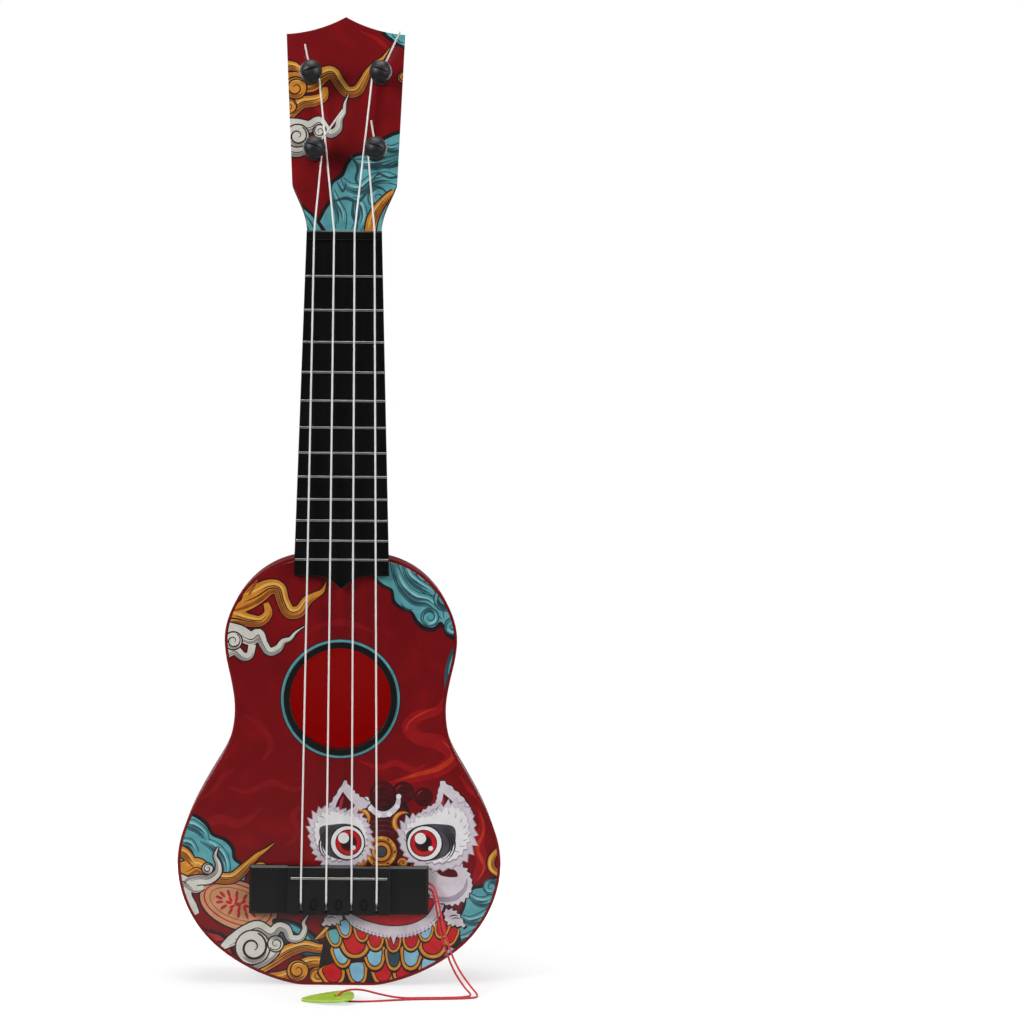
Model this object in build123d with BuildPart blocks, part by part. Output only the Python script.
"""Toy ukulele of moulded plastic: body, neck, head, four tuning pegs, strings, and a pick on a cord.

The instrument stands upright on the flat foot of its body. +Z runs up the neck, the face looks
towards -Y, and +X is to the right of someone looking at the face. Millimetres.
The origin is in the middle of the flat foot.
"""

from build123d import *
import os
from math import asin, atan2, cos, hypot, radians, sin, tan

os.makedirs("parts", exist_ok=True)

# Body
FOOT_HALF = 13.5
BODY_TOP = 187.2
FACE_Y = -22.5  # front of the printed panel
BACK_Y = 22.5
RIM_SETBACK = 0.3  # the shell's rim lies this far behind the panel's face
WALL = 2.4
RABBET = 1.2
PANEL_T = 2.2
BACK_ROUND = 8.0
HOLE_Z = 124.7
HOLE_R = 21.9
RING_R = 24.6
RING_LIP = 0.5
RING_DEPTH = 7.0
NAME_PLATE = (24.3, 14.2)
NAME_PLATE_Z = 166.8

# Neck and fingerboard
NUT_Z = 326.8
BOARD_T = 3.5
BOARD_TOP_HALF = 16.2
BOARD_END_HALF = 20.6
BOARD_END_Z = 178.2
BOARD_POINT_Z = 172.3
FRET_COUNT = 12
FRET_W = 1.0
FRET_H = 0.75
FRET_SEAT = 0.4
NUT_H = 4.5
NUT_PROUD = 1.7
DOT_Z = (272.5, 248.7, 217.0)
PIN_R = 2.0
PIN_LENGTH = 5.0

# Neck section: back and half width as (value, change per millimetre up), and the heel's swell
NECK_WALL = 2.4
NECK_LOW = 176.0
NECK_HALF = (20.0, -0.0287)
NECK_BACK = (-2.7, -0.056)
NECK_TUCK = 0.06
HEEL_SPAN = (190.0, 236.0)
HEEL_DEPTH = 19.3

# The shell's tab that is screwed to the heel
TAB_W = 16.4
TAB_TOP = 199.0
TAB_T = 2.6
HEEL_SCREW_Z = 189.4
TONGUE = (24.0, 12.0, 17.0)
TONGUE_TOP = 189.2

# Head, on a plane that leans back
HEAD_LEAN = 8.0
HEAD_T = 10.0
HEAD_PANEL_T = 1.6
PEG_BOSS_R = 5.2
HEAD_PEAK = 420.0
HEAD_CORNER = (25.7, 412.4)
HEAD_SHOULDER = (22.7, 348.0)
HEAD_WAIST = 16.1

# Bridge
SADDLE_Z = 47.4
SADDLE_R = 0.6
BRIDGE_HALF = 38.8
BRIDGE_LOW = 31.5
BRIDGE_HIGH = 52.5
BLOCK_HALF = 22.2
WING_T = 4.0
BLOCK_T = 7.0

# Strings and pegs, from left to right. A peg is (name, across, up the head, side of the peg that
# the string runs to, the tail's reach across and up, its slope, the key's turn, the slit's turn)
STRING_R = 0.4
STRING_Y_SADDLE = -30.5
STRING_Y_NUT = -27.4
NUT_X = (-12.95, -4.4, 4.4, 12.95)
SADDLE_X = (-16.35, -5.45, 5.45, 16.35)
SHAFT_R = 3.0
SHAFT_FIT = 0.05
DRUM_R = 2.1
WIND_R = 2.9
WIND_LOW = 1.6
WIND_TURNS = 4
BALL_R = 4.9
BALL_H = 9.6
TAIL_H = 5.3
PEGS = (
    ("lower_left", -13.3, 34.5, 1, (12.2, 15.5), 0.45, -60, -20),
    ("upper_left", -15.0, 67.9, 1, (-2.7, 12.0), 0.30, 25, 18),
    ("upper_right", 15.0, 67.9, -1, (8.2, 16.7), 0.45, -12, -20),
    ("lower_right", 13.3, 34.5, -1, (-2.2, 12.2), 0.30, -60, -20),
)

# Pick and its cord
CORD_D = 0.9
PICK_T = 1.0
PICK_TIP = (-15.5, -61.0)
PICK_LENGTH = 22.5
PICK_HALF = 11.5
PICK_TILT = 5.1
PICK_HOLE = (15.6, 1.9)

FRONT = Plane.XZ.offset(-FACE_Y)
HEAD = Plane(
    origin=(0, FACE_Y, NUT_Z),
    x_dir=(1, 0, 0),
    z_dir=(0, -cos(radians(HEAD_LEAN)), sin(radians(HEAD_LEAN))),
)


def save(part, label):
    """Labels a finished piece and writes it to its own file."""
    part.label = label
    export_step(part, f"parts/{label}.step")


def up_head(z):
    """Distance up the leaning head for a height above the floor."""
    return (z - NUT_Z) / cos(radians(HEAD_LEAN))


def board_half(z):
    """Half the fingerboard's width at a height."""
    along = (NUT_Z - z) / (NUT_Z - BOARD_END_Z)
    return BOARD_TOP_HALF + (BOARD_END_HALF - BOARD_TOP_HALF) * along


# Body outline: the flat foot, then tangent arcs round both bouts and the waist, mirrored
BODY_ARCS = (
    (20.0, 0.68),
    (51.1, 15.2),
    (68.9, 43.0),
    (67.6, 67.2),
    (61.0, 82.0),
    (52.0, 97.5),
    (45.7, 119.0),
    (46.3, 127.0),
    (48.6, 138.0),
    (50.2, 147.5),
    (49.0, 158.8),
    (37.0, 177.3),
    (20.8, 185.5),
    (0, BODY_TOP),
)
with BuildSketch(FRONT) as outline:
    with BuildLine():
        Line((0, 0), (FOOT_HALF, 0))
        start, heading = Vector(FOOT_HALF, 0), Vector(1, 0)
        for end in BODY_ARCS:
            arc = TangentArc(start, end, tangent=heading)
            start, heading = arc @ 1, arc % 1
        mirror(about=Plane.YZ)
    make_face()

# Back shell: back and sides in one moulding, with the tab that reaches over the heel
BACK = Plane.XZ.offset(-BACK_Y)
RING_BACK = Plane.XZ.offset(-BACK_Y - 0.6)
with BuildPart() as body_back_shell:
    with BuildSketch(Plane.XZ.offset(-FACE_Y - RIM_SETBACK)):
        add(outline.sketch_local)
    extrude(amount=-(BACK_Y - FACE_Y - RIM_SETBACK))
    fillet(body_back_shell.faces().sort_by(Axis.Y)[-1].edges(), BACK_ROUND)
    with BuildSketch(BACK):
        with Locations((0, TAB_TOP - 11.5)):
            RectangleRounded(TAB_W, 23, 2.4)
    extrude(amount=TAB_T)
    with BuildSketch(BACK):
        with Locations((0, 181.0)):
            Rectangle(TAB_W, 12.0)
    extrude(amount=BACK_ROUND)
    with BuildSketch(BACK):
        with Locations((0, HEEL_SCREW_Z)):
            Circle(4.75)
    extrude(amount=-0.6)
    with BuildSketch(FRONT):
        add(outline.sketch_local)
        offset(amount=-RABBET, mode=Mode.REPLACE)
    extrude(amount=-PANEL_T, mode=Mode.SUBTRACT)
    with BuildSketch(BACK):
        with Locations((0, NAME_PLATE_Z)):
            Rectangle(*NAME_PLATE)
    extrude(amount=0.4, mode=Mode.SUBTRACT)
    with Locations((0, FACE_Y + PANEL_T + TONGUE[1] / 2, TONGUE_TOP - TONGUE[2] / 2)):
        Box(*TONGUE, mode=Mode.SUBTRACT)

with BuildPart() as body_cavity:
    with BuildSketch(FRONT):
        add(outline.sketch_local)
        offset(amount=-WALL, mode=Mode.REPLACE)
    extrude(amount=-(BACK_Y - FACE_Y - WALL))
    fillet(body_cavity.faces().sort_by(Axis.Y)[-1].edges(), BACK_ROUND - WALL)

with body_back_shell:
    add(body_cavity.part, mode=Mode.SUBTRACT)
    with BuildSketch(RING_BACK):
        with Locations((0, HEEL_SCREW_Z)):
            Circle(3.15)
    extrude(amount=2.0, mode=Mode.SUBTRACT)
    with BuildSketch(RING_BACK):
        with Locations((0, HEEL_SCREW_Z)):
            Circle(1.6)
    extrude(amount=4.0, mode=Mode.SUBTRACT)
save(body_back_shell.part, "body_back_shell")

# Front panel: the printed soundboard, welded into the shell's rabbet
with BuildPart() as front_panel:
    with BuildSketch(FRONT):
        add(outline.sketch_local)
        offset(amount=-RABBET, mode=Mode.REPLACE)
        with Locations((0, HOLE_Z)):
            Circle(HOLE_R + 1.2, mode=Mode.SUBTRACT)
        with Locations((-30, 42), (30, 42)):
            Circle(1.6, mode=Mode.SUBTRACT)
    extrude(amount=-PANEL_T)
save(front_panel.part, "front_panel")

# Sound hole ring: a flange on the face and a short tube that lines the hole
with BuildPart() as soundhole_ring:
    with BuildSketch(FRONT):
        with Locations((0, HOLE_Z)):
            Circle(RING_R)
            Circle(HOLE_R, mode=Mode.SUBTRACT)
    extrude(amount=RING_LIP)
    fillet(soundhole_ring.faces().sort_by(Axis.Y)[0].edges(), 0.2)
    with BuildSketch(FRONT):
        with Locations((0, HOLE_Z)):
            Circle(HOLE_R + 1.2)
            Circle(HOLE_R, mode=Mode.SUBTRACT)
    extrude(amount=-RING_DEPTH)
save(soundhole_ring.part, "soundhole_ring")


def neck_section(z, wall=0.0):
    """A D-shaped slice of the neck at a height: flat front, short sides and a round back.

    The back runs straight up the neck and swells into the heel over HEEL_SPAN. A wall above zero
    gives the hollow's slice, which reaches past the front so that the neck is open there.
    """
    rise = min(max((z - HEEL_SPAN[0]) / (HEEL_SPAN[1] - HEEL_SPAN[0]), 0.0), 1.0)
    swell = (1 - rise) ** 2 * (1 + 2 * rise)
    tuck = max(z - NUT_Z, 0.0) * NECK_TUCK
    back = NECK_BACK[0] + (z - HEEL_SPAN[1]) * NECK_BACK[1] + HEEL_DEPTH * swell - tuck - wall
    half = NECK_HALF[0] + (z - NECK_LOW) * NECK_HALF[1] - wall
    side_y = FACE_Y + 5.0 + 21.0 * swell
    fullness = 0.58 + 0.2 * swell
    front = FACE_Y - 3.0 if wall else FACE_Y
    with BuildSketch(Plane.XY.offset(z)) as section:
        with BuildLine():
            Polyline((-half, side_y), (-half, front), (half, front), (half, side_y))
            for side_x in (half, -half):
                Bezier(
                    (side_x, side_y),
                    (side_x, side_y + (back - side_y) * fullness),
                    (side_x * fullness, back),
                    (0, back),
                )
        make_face()
    return section.sketch


# The hollow of the neck, from the heel's end wall to just under the nut
NECK_HEIGHTS = (176, 184, 191, 198, 205, 212, 219, 227, 238, 254, 270, 286, 302, 318, 334, 350)
with BuildPart() as neck_core:
    for z in NECK_HEIGHTS[2:-2]:
        add(neck_section(z, NECK_WALL))
    loft()
with BuildPart() as neck_body:
    for z in NECK_HEIGHTS:
        add(neck_section(z))
    loft()

# Head outline on its own plane: a waist at the nut, then the wings and the three-pointed top
with BuildSketch(HEAD) as head_outline:
    with BuildLine():
        Line((0, 0), (HEAD_WAIST, 0))
        Bezier(
            (HEAD_WAIST, 0),
            (HEAD_WAIST, up_head(336.0)),
            (20.2, up_head(341.0)),
            (HEAD_SHOULDER[0], up_head(HEAD_SHOULDER[1])),
        )
        Line(
            (HEAD_SHOULDER[0], up_head(HEAD_SHOULDER[1])),
            (HEAD_CORNER[0], up_head(HEAD_CORNER[1])),
        )
        ThreePointArc(
            (HEAD_CORNER[0], up_head(HEAD_CORNER[1])),
            (11.9, up_head(414.9)),
            (0, up_head(HEAD_PEAK)),
        )
        mirror(about=Plane.YZ)
    make_face()

with BuildPart() as head_solid:
    with BuildSketch(HEAD):
        add(head_outline.sketch_local)
    extrude(amount=-HEAD_T)
    back_face = head_solid.faces().sort_by(Axis.Y)[-1]
    fillet(back_face.edges().filter_by(lambda e: (e @ 0.5).Z > NUT_Z + 3), 1.2)

# The tray under the head's printed panel, ringed by bosses that carry the pegs
with BuildPart() as head_tray:
    with BuildSketch(HEAD):
        with BuildLine():
            Polyline(
                (0, 18.0),
                (16.5, 18.0),
                (20.4, 25.0),
                (22.9, up_head(409.5)),
                (9.0, up_head(411.8)),
                (0, up_head(415.5)),
            )
            mirror(about=Plane.YZ)
        make_face()
        for name, across, up, side, tail, slope, turn, slit in PEGS:
            with Locations((across, up)):
                Circle(PEG_BOSS_R, mode=Mode.SUBTRACT)
    extrude(amount=-(HEAD_T - NECK_WALL))

# Bosses inside the neck: three for the fingerboard's pins and one for the heel screw
with BuildPart() as neck_bosses:
    with BuildSketch(FRONT):
        for z in DOT_Z:
            with Locations((0, z)):
                Circle(PIN_R + 1.6)
        with Locations((0, HEEL_SCREW_Z + 3)):
            Circle(4.4)
    extrude(amount=-50)
    add(neck_body.part, mode=Mode.INTERSECT)
    with BuildSketch(FRONT):
        for z in DOT_Z:
            with Locations((0, z)):
                Circle(PIN_R)
    extrude(amount=-PIN_LENGTH, mode=Mode.SUBTRACT)

# Neck: neck, heel and the tray of the head in one hollow moulding, open to the front
with BuildPart() as neck_shell:
    add(neck_body.part)
    with BuildSketch(Plane.XZ.offset(-40)):
        add(outline.sketch_local)
    extrude(amount=80, mode=Mode.SUBTRACT)
    add(head_solid.part)
    add(neck_core.part, mode=Mode.SUBTRACT)
    with BuildSketch(HEAD.offset(-HEAD_PANEL_T)):
        with Locations((0, 60.5)):
            Rectangle(80, 121)
    extrude(amount=30, mode=Mode.SUBTRACT)
    add(head_tray.part, mode=Mode.SUBTRACT)
    add(neck_bosses.part)
    with Locations((0, FACE_Y + PANEL_T + TONGUE[1] / 2, TONGUE_TOP - TONGUE[2] / 2)):
        Box(*TONGUE)
    with BuildSketch(HEAD):
        for name, across, up, side, tail, slope, turn, slit in PEGS:
            with Locations((across, up)):
                Circle(SHAFT_R + SHAFT_FIT)
    extrude(amount=-2 * HEAD_T, mode=Mode.SUBTRACT)
    with BuildSketch(BACK):
        with Locations((0, HEEL_SCREW_Z)):
            Circle(1.3)
    extrude(amount=14, mode=Mode.SUBTRACT)
save(neck_shell.part, "neck_shell")

# Printed panel that closes the head
with BuildPart() as head_face_panel:
    with BuildSketch(HEAD):
        add(head_outline.sketch_local)
        for name, across, up, side, tail, slope, turn, slit in PEGS:
            with Locations((across, up)):
                Circle(SHAFT_R + SHAFT_FIT, mode=Mode.SUBTRACT)
    extrude(amount=-HEAD_PANEL_T)
save(head_face_panel.part, "head_face_panel")

# Fingerboard: tapered, square shoulders on the body and a bracket-shaped end
BOARD = FRONT.offset(BOARD_T)
with BuildPart() as fingerboard:
    with BuildSketch(FRONT):
        with BuildLine():
            Line((0, NUT_Z), (BOARD_TOP_HALF, NUT_Z))
            Line((BOARD_TOP_HALF, NUT_Z), (BOARD_END_HALF, BOARD_END_Z))
            Line((BOARD_END_HALF, BOARD_END_Z), (13.5, BOARD_END_Z))
            Bezier((13.5, BOARD_END_Z), (5.0, BOARD_END_Z), (4.0, 175.6), (0, BOARD_POINT_Z))
            mirror(about=Plane.YZ)
        make_face()
    extrude(amount=BOARD_T)
    chamfer(fingerboard.faces().sort_by(Axis.Y)[0].edges(), 0.35)
    with BuildSketch(FRONT):
        for z in DOT_Z:
            with Locations((0, z)):
                Circle(PIN_R)
    extrude(amount=-PIN_LENGTH)
    with BuildSketch(BOARD):
        for z in DOT_Z:
            with Locations((0, z)):
                Circle(1.15)
                Circle(0.6, mode=Mode.SUBTRACT)
    extrude(amount=-0.3, mode=Mode.SUBTRACT)
    with BuildSketch(BOARD):
        for fret in range(1, FRET_COUNT + 1):
            z = SADDLE_Z + 0.3 + (NUT_Z - 4.5 - SADDLE_Z) * 2 ** (-fret / 12)
            with Locations((0, z)):
                Rectangle(2 * board_half(z) + 1, FRET_W)
    extrude(amount=-FRET_SEAT, mode=Mode.SUBTRACT)
save(fingerboard.part, "fingerboard")

# Frets: twelve crowned bars seated in the fingerboard
with BuildPart() as frets:
    with BuildSketch(BOARD.offset(-FRET_SEAT)):
        for fret in range(1, FRET_COUNT + 1):
            z = SADDLE_Z + 0.3 + (NUT_Z - 4.5 - SADDLE_Z) * 2 ** (-fret / 12)
            with Locations((0, z)):
                Rectangle(2 * board_half(z) - 0.5, FRET_W)
    extrude(amount=FRET_H + FRET_SEAT)
    fillet(frets.faces().group_by(Axis.Y)[0].edges().filter_by(Axis.X), 0.42)
save(frets.part, "frets")

# Nut: four slots, the board's own width
with BuildPart() as nut:
    with BuildSketch(BOARD):
        with Locations((0, NUT_Z - NUT_H / 2)):
            Rectangle(2 * BOARD_TOP_HALF - 0.6, NUT_H - 0.8)
    extrude(amount=NUT_PROUD)
    fillet(nut.edges().filter_by(Axis.X).group_by(Axis.Y)[0], 0.5)
    with Locations([(x, STRING_Y_NUT - 0.4, NUT_Z - NUT_H / 2) for x in NUT_X]):
        Box(1.1, 1.7, 2 * NUT_H, mode=Mode.SUBTRACT)
save(nut.part, "nut")

# Bridge: flat wings and a raised block with string slots and a moulded tongue between each pair
BRIDGE_MID = (BRIDGE_LOW + BRIDGE_HIGH) / 2
BRIDGE_SCREW_X = 30.0
BRIDGE_SCREW_Z = 42.0
WING = FRONT.offset(WING_T)
BLOCK = FRONT.offset(BLOCK_T)
with BuildPart() as bridge:
    with BuildSketch(FRONT):
        with Locations((0, BRIDGE_MID)):
            Rectangle(2 * BRIDGE_HALF, BRIDGE_HIGH - BRIDGE_LOW)
    extrude(amount=WING_T)
    chamfer(bridge.faces().sort_by(Axis.Y)[0].edges(), 1.0)
    with BuildSketch(FRONT):
        with Locations((0, BRIDGE_MID)):
            Rectangle(2 * BLOCK_HALF, BRIDGE_HIGH - BRIDGE_LOW)
    extrude(amount=BLOCK_T)
    chamfer(bridge.faces().sort_by(Axis.Y)[0].edges(), 0.5)
    with BuildSketch(BLOCK):
        with Locations((0, SADDLE_Z)):
            Rectangle(2 * BLOCK_HALF - 2.6, 2 * SADDLE_R)
    extrude(amount=-0.9, mode=Mode.SUBTRACT)
    with BuildSketch(BLOCK):
        for x in (-10.9, 0, 10.9):
            with Locations((x, 36.0)):
                SlotCenterToCenter(1.8, 3.2, rotation=90)
    extrude(amount=-0.9, mode=Mode.SUBTRACT)
    with BuildSketch(BLOCK.offset(-0.9)):
        for x in (-10.9, 0, 10.9):
            with Locations((x, 36.5)):
                SlotCenterToCenter(1.5, 1.1, rotation=90)
    extrude(amount=0.7)
    with BuildSketch(BLOCK):
        for x in SADDLE_X:
            with Locations((x, 35.6)):
                Rectangle(1.2, 8.2)
    extrude(amount=-4.4, mode=Mode.SUBTRACT)
    with BuildSketch(FRONT):
        for x in SADDLE_X:
            with Locations((x, 33.9)):
                Circle(1.3)
    extrude(amount=4.6, mode=Mode.SUBTRACT)
    with BuildSketch(FRONT):
        with Locations((-BRIDGE_SCREW_X, BRIDGE_SCREW_Z), (BRIDGE_SCREW_X, BRIDGE_SCREW_Z)):
            Circle(1.0)
    extrude(amount=3.0, mode=Mode.SUBTRACT)
    with Locations((BRIDGE_HALF - 1.9, FACE_Y - 1.1, 44.5)):
        Box(5.8, 2.2, 4.6, mode=Mode.SUBTRACT)
save(bridge.part, "bridge")

# Saddle: a plain rod in the block's groove
with BuildPart() as saddle:
    with BuildSketch(Plane.YZ.offset(-BLOCK_HALF + 1.4)):
        with Locations((FACE_Y - BLOCK_T + 0.05, SADDLE_Z)):
            Circle(SADDLE_R)
    extrude(amount=2 * BLOCK_HALF - 2.8)
save(saddle.part, "saddle")

# Screws that hold the bridge, driven from inside the body
with BuildPart() as bridge_screws:
    with BuildSketch(FRONT.offset(-PANEL_T)):
        with Locations((-BRIDGE_SCREW_X, BRIDGE_SCREW_Z), (BRIDGE_SCREW_X, BRIDGE_SCREW_Z)):
            Circle(2.6)
    extrude(amount=-1.5)
    with BuildSketch(FRONT.offset(-PANEL_T)):
        with Locations((-BRIDGE_SCREW_X, BRIDGE_SCREW_Z), (BRIDGE_SCREW_X, BRIDGE_SCREW_Z)):
            Circle(1.0)
    extrude(amount=PANEL_T + 2.8)
save(bridge_screws.part, "bridge_screws")

# Screw through the shell's tab into the heel
with BuildPart() as heel_screw:
    with BuildSketch(Plane.XZ.offset(-BACK_Y + 1.4)):
        with Locations((0, HEEL_SCREW_Z)):
            Circle(2.8)
    extrude(amount=-1.3)
    with BuildSketch(Plane.XZ.offset(-BACK_Y + 1.4)):
        with Locations((0, HEEL_SCREW_Z)):
            Circle(1.3)
    extrude(amount=11)
save(heel_screw.part, "heel_screw")


def on_head(across, up, height):
    """A point given across and up the leaning head, and its height above the face."""
    return HEAD.from_local_coords(Vector(across, up, height))


def peg_plane(across, up, height, turn=0.0):
    """The plane square to a peg at a height above the head's face, turned about the peg's axis."""
    along = HEAD.x_dir * cos(radians(turn)) + HEAD.y_dir * sin(radians(turn))
    return Plane(origin=on_head(across, up, height), x_dir=along, z_dir=HEAD.z_dir)


# Strings: knot in the bridge, over the saddle, through the nut, then tangent to the peg's winding
STRING_PEG_R = WIND_R + STRING_R + 0.1
STRING_PEG_H = 3.2
for number, (x_nut, x_saddle, peg) in enumerate(zip(NUT_X, SADDLE_X, PEGS), 1):
    name, across, up, side = peg[:4]
    leave = Vector(x_nut, STRING_Y_NUT, NUT_Z - 0.4)
    away = hypot(across - x_nut, up)
    angle = atan2(up, across - x_nut) - side * asin(STRING_PEG_R / away)
    reach = away * cos(asin(STRING_PEG_R / away))
    touch = on_head(x_nut + reach * cos(angle), reach * sin(angle), STRING_PEG_H)
    with BuildPart() as string:
        with BuildLine():
            FilletPolyline(
                (x_saddle, -26.4, 33.9),
                (x_saddle, -29.75, 37.5),
                (x_saddle, STRING_Y_SADDLE, SADDLE_Z),
                leave,
                touch,
                radius=[3.0, 8.0, 6.0],
            )
        with BuildSketch(Plane(origin=(x_saddle, -26.4, 33.9), z_dir=(0, -3.35, 3.6))):
            Circle(STRING_R)
        sweep()
        with Locations((x_saddle, -25.9, 33.9)):
            Sphere(0.9)
    save(string.part, f"string_{number}")

# Tuning pegs: a post with a ball, the string wound on it, a key and the screw that holds the key
KEY_HALF = ((7.15, 1.7), (2.7, 5.2))
for name, across, up, side, tail, slope, turn, slit in PEGS:
    foot = peg_plane(across, up, 0)
    with BuildPart() as post:
        with BuildSketch(foot.offset(0.2)):
            Circle(4.1)
        extrude(amount=0.9)
        with BuildSketch(foot.offset(0.2)):
            Circle(DRUM_R)
        extrude(amount=BALL_H - 3)
        with BuildSketch(foot.offset(0.2)):
            Circle(SHAFT_R)
        extrude(amount=-HEAD_T - 0.6)
        with BuildSketch(foot.offset(-HEAD_T - 0.4)):
            Rectangle(3.8, 3.8)
        extrude(amount=-5.2)
        with Locations(foot.offset(BALL_H)):
            Sphere(BALL_R)
        with BuildSketch(peg_plane(across, up, BALL_H + BALL_R - 1.1, slit)):
            Rectangle(2 * BALL_R, 0.8)
        extrude(amount=2, mode=Mode.SUBTRACT)
        with BuildSketch(foot.offset(-HEAD_T - 5.6)):
            Circle(0.9)
        extrude(amount=7.4, mode=Mode.SUBTRACT)
    save(post.part, f"peg_post_{name}")

    with BuildPart() as winding:
        for ring in range(WIND_TURNS):
            with BuildSketch(foot.offset(WIND_LOW + 2 * STRING_R * ring)):
                Circle(WIND_R)
                Circle(DRUM_R, mode=Mode.SUBTRACT)
            extrude(amount=2 * STRING_R)
        length = hypot(*tail)
        run = Vector(tail[0] / length, tail[1] / length, slope)
        start = foot.from_local_coords(run * 1.6 + Vector(0, 0, TAIL_H - 1.6 * slope))
        end = foot.from_local_coords(run * length + Vector(0, 0, TAIL_H - 1.6 * slope))
        with BuildSketch(Plane(origin=start, z_dir=end - start)):
            Circle(STRING_R)
        extrude(amount=(end - start).length)
        add(post.part, mode=Mode.SUBTRACT)
    save(winding.part, f"string_winding_{name}")

    handle = peg_plane(across, up, -HEAD_T - 1.8, turn)
    with BuildPart() as key:
        with BuildSketch(handle):
            with BuildLine():
                (long_x, long_y), (wide_x, wide_y) = KEY_HALF
                Polyline(
                    (long_x, long_y),
                    (wide_x, wide_y),
                    (-wide_x, wide_y),
                    (-long_x, long_y),
                    (-long_x, -long_y),
                    (-wide_x, -wide_y),
                    (wide_x, -wide_y),
                    (long_x, -long_y),
                    close=True,
                )
            make_face()
        extrude(amount=-5.0)
        outer = key.faces().sort_by(Axis(handle.origin, HEAD.z_dir))[0]
        chamfer(outer.edges(), 1.1)
        with BuildSketch(foot.offset(-HEAD_T - 0.4)):
            Circle(3.7)
        extrude(amount=-2.0)
        with BuildSketch(foot.offset(-HEAD_T - 0.4)):
            Rectangle(3.8, 3.8)
        extrude(amount=-5.2, mode=Mode.SUBTRACT)
        with BuildSketch(foot.offset(-HEAD_T - 5.6)):
            Circle(2.1)
        extrude(amount=-2.0, mode=Mode.SUBTRACT)
    save(key.part, f"peg_key_{name}")

    with BuildPart() as key_screw:
        with BuildSketch(foot.offset(-HEAD_T - 5.6)):
            Circle(2.0)
        extrude(amount=-1.3)
        with BuildSketch(foot.offset(-HEAD_T - 5.6)):
            Circle(0.9)
        extrude(amount=7.0)
    save(key_screw.part, f"key_screw_{name}")

# Pick: a rounded triangle lying on the floor, its wide end propped on the cord that passes under it
PICK = Plane(origin=(*PICK_TIP, 0), x_dir=(1, 0, 0), z_dir=(0, 0, 1)).rotated((0, -PICK_TILT, 0))
with BuildPart() as pick:
    with BuildSketch(PICK):
        with BuildLine():
            Bezier((0, 0), (0, 4.5), (8.0, 9.6), (14.5, PICK_HALF))
            Bezier((14.5, PICK_HALF), (19.5, 13.0), (PICK_LENGTH, 8.5), (PICK_LENGTH, 0))
            Bezier((14.5, -PICK_HALF), (19.5, -13.0), (PICK_LENGTH, -8.5), (PICK_LENGTH, 0))
            Bezier((0, 0), (0, -4.5), (8.0, -9.6), (14.5, -PICK_HALF))
        make_face()
        with Locations((PICK_HOLE[0], 0)):
            Circle(PICK_HOLE[1], mode=Mode.SUBTRACT)
    extrude(amount=PICK_T)
    fillet(pick.faces().sort_by(Axis.Z)[-1].edges(), 0.3)
save(pick.part, "pick")

# Cord: out of the bridge's end, down in front of the body, along the floor, through the pick and back
CORD_ROUTE = [
    (34.0, -23.9, 43.6),
    (40.0, -23.9, 43.4),
    (41.6, -25.2, 38.6),
    (43.0, -28.2, 30.0),
    (45.4, -33.0, 20.0),
    (49.0, -38.6, 10.4),
    (54.0, -43.6, 3.2),
    (57.4, -47.6, 0.47),
    (54.2, -51.4, 0.45),
    (46.0, -53.4, 0.45),
    (36.5, -54.2, 0.46),
    (26.5, -55.6, 0.47),
    (18.0, -55.4, 2.0),
    (10.4, -56.8, 4.3),
    (4.4, -59.3, 4.7),
    (0.7, -60.5, 3.3),
    (-0.4, -61.6, 1.3),
    (1.4, -62.9, 0.46),
    (5.4, -64.4, 0.45),
    (13.5, -63.6, 0.45),
    (23.0, -60.4, 0.45),
    (32.5, -57.7, 0.46),
    (42.0, -56.6, 0.45),
    (51.0, -55.4, 0.45),
    (57.6, -53.6, 0.46),
    (60.2, -49.0, 0.47),
    (56.6, -44.4, 3.8),
    (50.8, -39.6, 11.4),
    (46.9, -34.2, 20.9),
    (44.4, -29.4, 30.8),
    (42.9, -26.5, 39.4),
    (40.2, -23.9, 45.8),
    (34.0, -23.9, 45.9),
]
points = [Vector(*p) for p in CORD_ROUTE]
runs = [b - a for a, b in zip(points, points[1:])]
radii = []
for before, after in zip(runs, runs[1:]):
    half_turn = radians(before.get_angle(after)) / 2
    radii.append(0.45 * min(before.length, after.length) / tan(half_turn))
with BuildPart() as pick_cord:
    with BuildLine() as cord_line:
        FilletPolyline(*points, radius=radii)
    with BuildSketch(Plane(origin=points[0], z_dir=runs[0])):
        Circle(CORD_D / 2)
    sweep()
save(pick_cord.part, "pick_cord")

cord_length = sum(edge.length for edge in cord_line.edges())
section = 3.14159 * CORD_D**2 / 4
print("cord radii", " ".join(f"{r:.1f}" for r in radii))
print(f"cord length {cord_length:.1f}, volume {pick_cord.part.volume:.2f}, expected {section * cord_length:.2f}")
